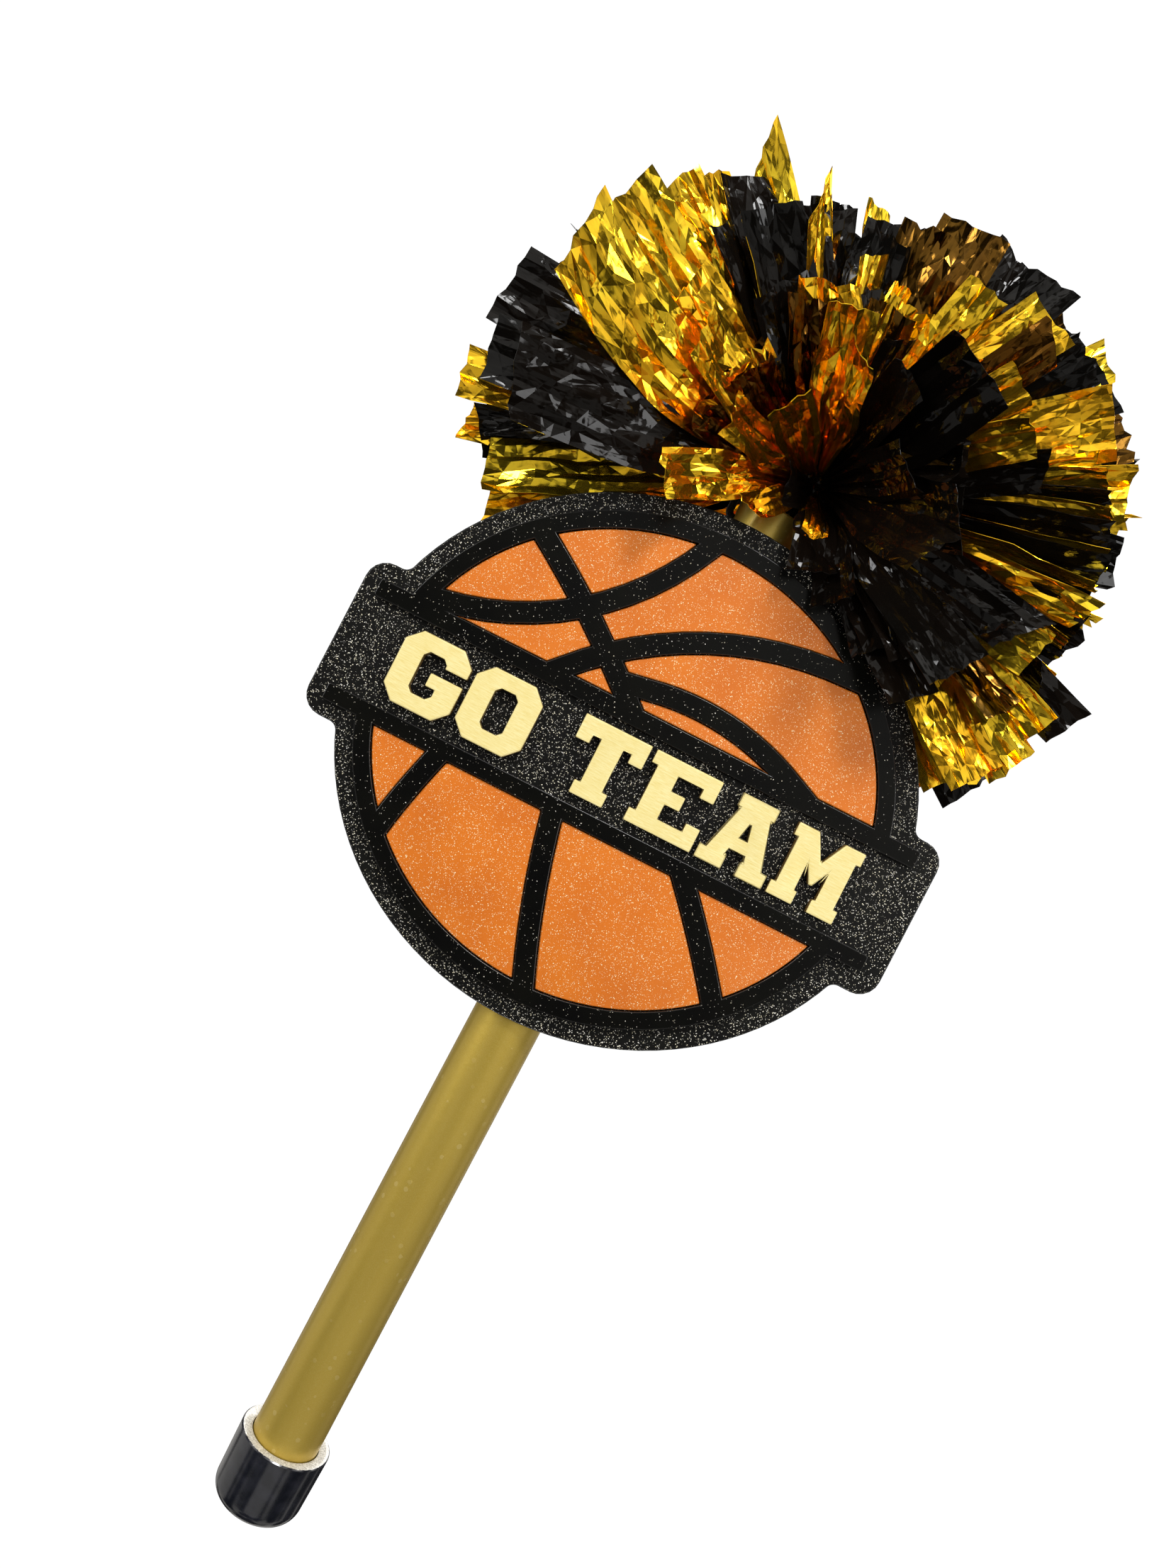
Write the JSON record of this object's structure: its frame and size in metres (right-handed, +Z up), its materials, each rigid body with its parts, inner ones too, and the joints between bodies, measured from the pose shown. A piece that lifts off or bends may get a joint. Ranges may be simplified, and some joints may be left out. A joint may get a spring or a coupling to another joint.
{
  "type": "cheer spirit stick with pom pom",
  "caption": "Hand-held cheer stick: a painted tube with an end cap, a layered basketball sign with a banner, and a foil pom pom tied to the top.",
  "frame": {"origin": "centre of the end cap's flat outer face, on the tube's axis", "axes": "+Z up along the tube towards the pom, -Y the way the sign faces, +X to the right of someone who looks at the sign"},
  "size_m": [0.2038, 0.152, 0.4502],
  "materials": {
    "gold_paint": "satin metallic gold spray paint on plastic pipe",
    "black_gloss": "gloss black paint on a white plastic slip cap, bare on its rim",
    "black_glitter": "black glitter with silver and pale gold specks",
    "black_satin": "satin black with faint glitter",
    "orange_glitter": "orange glitter with pale gold specks",
    "pale_gold": "pale gold with a fine brushed grain and darker gold sides",
    "clear_glue": "cloudy hot glue",
    "black_cord": "matte black cord",
    "gold_foil": "crinkled gold metallic foil",
    "black_foil": "crinkled black metallic foil"
  },
  "bodies": {
    "stick": {"glue_bead_left": "clear_glue", "glue_bead_right": "clear_glue", "handle_tube": "gold_paint", "letter_a": "pale_gold", "letter_e": "pale_gold", "letter_g": "pale_gold", "letter_m": "pale_gold", "letter_o": "pale_gold", "letter_t": "pale_gold", "lower_frame": "black_satin", "panel_01": "orange_glitter", "panel_02": "orange_glitter", "panel_03": "orange_glitter", "panel_04": "orange_glitter", "panel_05": "orange_glitter", "panel_06": "orange_glitter", "panel_07": "orange_glitter", "panel_08": "orange_glitter", "panel_09": "orange_glitter", "panel_10": "orange_glitter", "panel_11": "orange_glitter", "sign_back_plate": "black_glitter", "upper_frame": "black_satin"},
    "end_cap": {"end_cap": "black_gloss"},
    "tie": {"pom_tie": "black_cord"},
    "pom": {"long_strip": "gold_foil", "pom_core": "black_foil", "tuft_back_01": "gold_foil", "tuft_back_02": "black_foil", "tuft_back_03": "gold_foil", "tuft_back_04": "black_foil", "tuft_back_05": "gold_foil", "tuft_facing": "black_foil", "tuft_front_01": "black_foil", "tuft_front_02": "black_foil", "tuft_front_03": "black_foil", "tuft_front_04": "gold_foil", "tuft_front_05": "gold_foil", "tuft_front_06": "black_foil", "tuft_low_left": "gold_foil", "tuft_low_right": "gold_foil", "tuft_lowest_right": "black_foil", "tuft_middle_01": "black_foil", "tuft_middle_02": "gold_foil", "tuft_middle_03": "black_foil", "tuft_middle_04": "gold_foil", "tuft_middle_05": "gold_foil", "tuft_middle_06": "black_foil", "tuft_middle_07": "gold_foil", "tuft_middle_08": "black_foil", "tuft_middle_09": "black_foil", "tuft_middle_10": "gold_foil", "tuft_middle_11": "gold_foil", "tuft_middle_12": "black_foil", "tuft_over_sign": "black_foil", "tuft_rear": "gold_foil", "tuft_under_left": "black_foil", "tuft_under_right": "gold_foil"}
  },
  "joints": [
    {"name": "end_cap_pull", "type": "slide", "parent": "stick", "child": "end_cap", "axis": [0, 0, -1], "range_m": [0, 0.025]},
    {"name": "pom_nod", "type": "hinge", "parent": "stick", "child": "tie", "pos_m": [0, 0, 0.33], "axis": [1, 0, 0], "range_deg": [-6, 6], "stiffness_Nm_per_rad": 0.4},
    {"name": "pom_sway", "type": "hinge", "parent": "tie", "child": "pom", "pos_m": [0.007, 0, 0.35], "axis": [0, 1, 0], "range_deg": [-8, 8], "stiffness_Nm_per_rad": 0.4}
  ]
}
